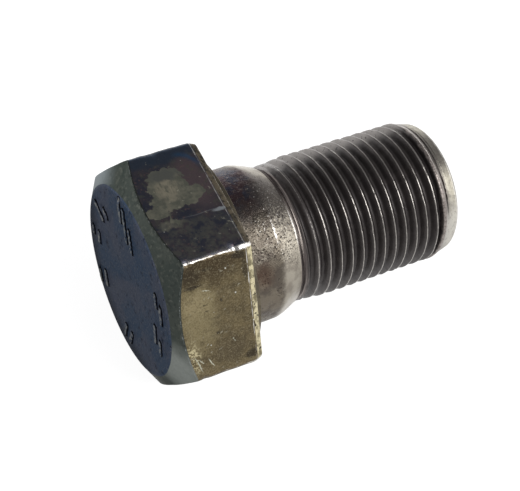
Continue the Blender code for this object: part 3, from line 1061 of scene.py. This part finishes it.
def point_steel():
    """The turned band and rim of the point: pale grey steel with a beige cast, with painted shade and a
    painted reflection.
    """
    n = Nodes("point_steel")
    grain = n.noise(0.2, 5.0, 0.65)
    rings = n.noise(0.12, 1.0, 0.5, n.stretch((1, 0.03, 0.03)))
    along = n.along(n.warped(1.2, 0.2))
    pale = n.between(along, 38.7 * MM, 39.7 * MM)
    colour = n.mix(pale, (0.2, 0.178, 0.165), (0.4, 0.375, 0.31))
    colour = n.over(colour, (0.16, 0.145, 0.13), n.clouds(0.9, 0.5, 0.66), 0.5)
    colour = n.over(colour, (0.1, 0.09, 0.08), n.between(rings, 0.5, 0.65), 0.4)
    # Painted shade: a dark line in the shallow groove, on its near side.
    line = n.times(n.between(along, 38.84 * MM, 38.92 * MM), n.between(along, 39.12 * MM, 39.04 * MM))
    near_side = n.spot(n.facing(105, 8.7), (39.0, 0.0), (2.0, 8.0), 0.2)
    colour = n.over(colour, (0.02, 0.016, 0.015), line, near_side)
    # Painted shade on the side facing 92 degrees.
    shade = n.blot(92, 8.6, (1.2, 0.5), (39.8, 0.0), (2.0, 3.0), 0.5)
    colour = n.over(colour, (0.12, 0.11, 0.1), shade, 0.75)
    # Painted reflection on the side facing 166 degrees.
    painted_reflection_side = n.blot(166, 8.6, (1.2, 0.5), (39.8, 0.0), (2.0, 3.2), 0.5)
    colour = n.over(colour, (0.6, 0.58, 0.53), painted_reflection_side, 0.7)
    specks = n.clouds(0.25, 0.56, 0.68, 3.0)
    colour = n.over(colour, (0.12, 0.1, 0.09), specks, 0.6)
    colour = n.over(colour, BARE, n.rubbed(0.5, 0.9, 0.45, 0.85))
    return n.finish(colour, n.number(grain, 0.3, 0.5), n.math("ADD", grain, rings), 0.03, rim=0.8)


def end_steel():
    """The sheared end of the point: dull dark steel, smeared one way, with a rubbed rim."""
    n = Nodes("end_steel")
    grain = n.noise(0.3, 5.0, 0.6)
    smear = n.noise(0.35, 4.0, 0.6, n.stretch((1, 0.14, 1), (0.6, 0, 0)))
    colour = n.mix(n.clouds(4.5, 0.35, 0.65, 3.0), (0.1, 0.09, 0.082), (0.15, 0.135, 0.118))
    colour = n.over(colour, (0.27, 0.25, 0.22), n.between(smear, 0.48, 0.66), 0.6)
    colour = n.over(colour, (0.045, 0.038, 0.036), n.clouds(1.0, 0.44, 0.32, 5.0), 0.5)
    colour = n.over(colour, BARE, n.rubbed(0.5, 0.8, 0.45, 0.85))
    return n.finish(colour, n.number(grain, 0.36, 0.55), n.math("ADD", grain, smear), 0.03, rim=0.8)


def under_steel():
    """The back of the hexagon and the washer face."""
    n = Nodes("under_steel")
    grain = n.noise(0.3, 4.0)
    colour = n.mix(n.clouds(3.5, 0.3, 0.7, 5.0, 0.6), (0.15, 0.13, 0.09), (0.1, 0.085, 0.066))
    colour = n.over(colour, (0.05, 0.042, 0.034), n.clouds(0.8, 0.46, 0.36, 5.0, 0.65), 0.5)
    colour = n.over(colour, BARE, n.rubbed(0.4, 0.8, 0.45, 0.85))
    return n.finish(colour, n.number(grain, 0.3, 0.5), grain, 0.025, rim=0.7)


STEELS = {
    "face": face_steel,
    "chamfer": chamfer_steel,
    "flat": flat_steel,
    "bevel": bevel_steel,
    "under": under_steel,
    "shoulder": shoulder_steel,
    "taper": shoulder_steel,
    "neck": neck_steel,
    "thread": thread_steel,
    "point": point_steel,
    "end": end_steel,
}


def forged_bolt():
    """The fine mesh with its steels, standing for the CAD bolt."""
    mesh, zones = bolt_mesh()
    made, places = [], {}
    for zone, steel in STEELS.items():
        if steel not in made:
            made.append(steel)
            mesh.materials.append(steel())
        places[zone] = made.index(steel)
    mesh.polygons.foreach_set("material_index", [places[zone] for zone in zones])
    mesh.update()
    mesh.shade_smooth()
    piece = bpy.data.objects.new("hex_bolt_forging", mesh)
    bpy.context.scene.collection.objects.link(piece)
    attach(piece, "root")
    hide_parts(NODE)


# ---- studio


def add_floor():
    """A floor that shines white by itself, more strongly behind the bolt."""
    mesh = bpy.data.meshes.new("floor")
    size, height = 1.5, LOW[2] * MM
    corners = [(-size, -size, height), (size, -size, height), (size, size, height), (-size, size, height)]
    mesh.from_pydata(corners, [], [(0, 1, 2, 3)])
    material = bpy.data.materials.new("pale_floor")
    material.use_nodes = True
    shader = material.node_tree.nodes["Principled BSDF"]
    shader.inputs["Base Color"].default_value = (0.2, 0.2, 0.2, 1)
    shader.inputs["Roughness"].default_value = 0.9
    shader.inputs["Emission Color"].default_value = (1, 1, 1, 1)
    tree = material.node_tree
    place = tree.nodes.new("ShaderNodeNewGeometry")
    split = tree.nodes.new("ShaderNodeSeparateXYZ")
    sweep = tree.nodes.new("ShaderNodeMapRange")
    tree.links.new(place.outputs["Position"], split.inputs[0])
    tree.links.new(split.outputs["Y"], sweep.inputs["Value"])
    for name, value in (("From Min", 0.02), ("From Max", 0.065), ("To Min", 0.93), ("To Max", 2.2)):
        sweep.inputs[name].default_value = value
    tree.links.new(sweep.outputs["Result"], shader.inputs["Emission Strength"])
    mesh.materials.append(material)
    floor = bpy.data.objects.new("floor", mesh)
    bpy.context.scene.collection.objects.link(floor)


def add_light(name, direction, distance, size, power):
    """A soft square light that faces the bolt's middle from this direction."""
    middle = Vector((LENGTH / 2 * MM, 0, 0))
    data = bpy.data.lights.new(name, "AREA")
    data.size = size
    data.energy = power
    light = bpy.data.objects.new(name, data)
    toward = Vector(direction).normalized()
    light.location = middle + toward * distance
    light.rotation_euler = toward.to_track_quat("Z", "Y").to_euler()
    bpy.context.scene.collection.objects.link(light)


def add_world():
    """White surroundings, darker overhead."""
    world = bpy.data.worlds.new("studio")
    bpy.context.scene.world = world
    world.use_nodes = True
    tree = world.node_tree
    place = tree.nodes.new("ShaderNodeTexCoord")
    split = tree.nodes.new("ShaderNodeSeparateXYZ")
    ramp = tree.nodes.new("ShaderNodeValToRGB")
    tree.links.new(place.outputs["Generated"], split.inputs[0])
    tree.links.new(split.outputs["Z"], ramp.inputs[0])
    tree.links.new(ramp.outputs[0], tree.nodes["Background"].inputs["Color"])
    ramp.color_ramp.elements[0].position = 0.02
    ramp.color_ramp.elements[0].color = (1, 1, 1, 1)
    ramp.color_ramp.elements[1].position = 0.65
    ramp.color_ramp.elements[1].color = (0.27, 0.27, 0.28, 1)
    tree.nodes["Background"].inputs["Strength"].default_value = 1.0


def add_camera():
    """The main view: the head near on the left, and the shank rising to the right."""
    data = bpy.data.cameras.new("camera")
    data.lens = CAMERA_LENS
    data.sensor_width = 36
    data.clip_start = 0.005
    camera = bpy.data.objects.new("camera", data)
    look = (CAMERA_TARGET - CAMERA_PLACE).to_track_quat("-Z", "Y").to_matrix()
    turned = look @ Matrix.Rotation(CAMERA_ROLL, 3, "Z")
    camera.matrix_world = Matrix.Translation(CAMERA_PLACE) @ turned.to_4x4()
    bpy.context.scene.collection.objects.link(camera)
    bpy.context.scene.camera = camera


forged_bolt()
add_floor()
add_world()
add_light("key", (0.365, -0.5, 0.8), 0.5, 0.32, 1.6)
add_light("side", (0.9, -0.3, 0.31), 0.5, 0.3, 0.5)
add_camera()
bpy.context.scene.view_settings.view_transform = "Standard"
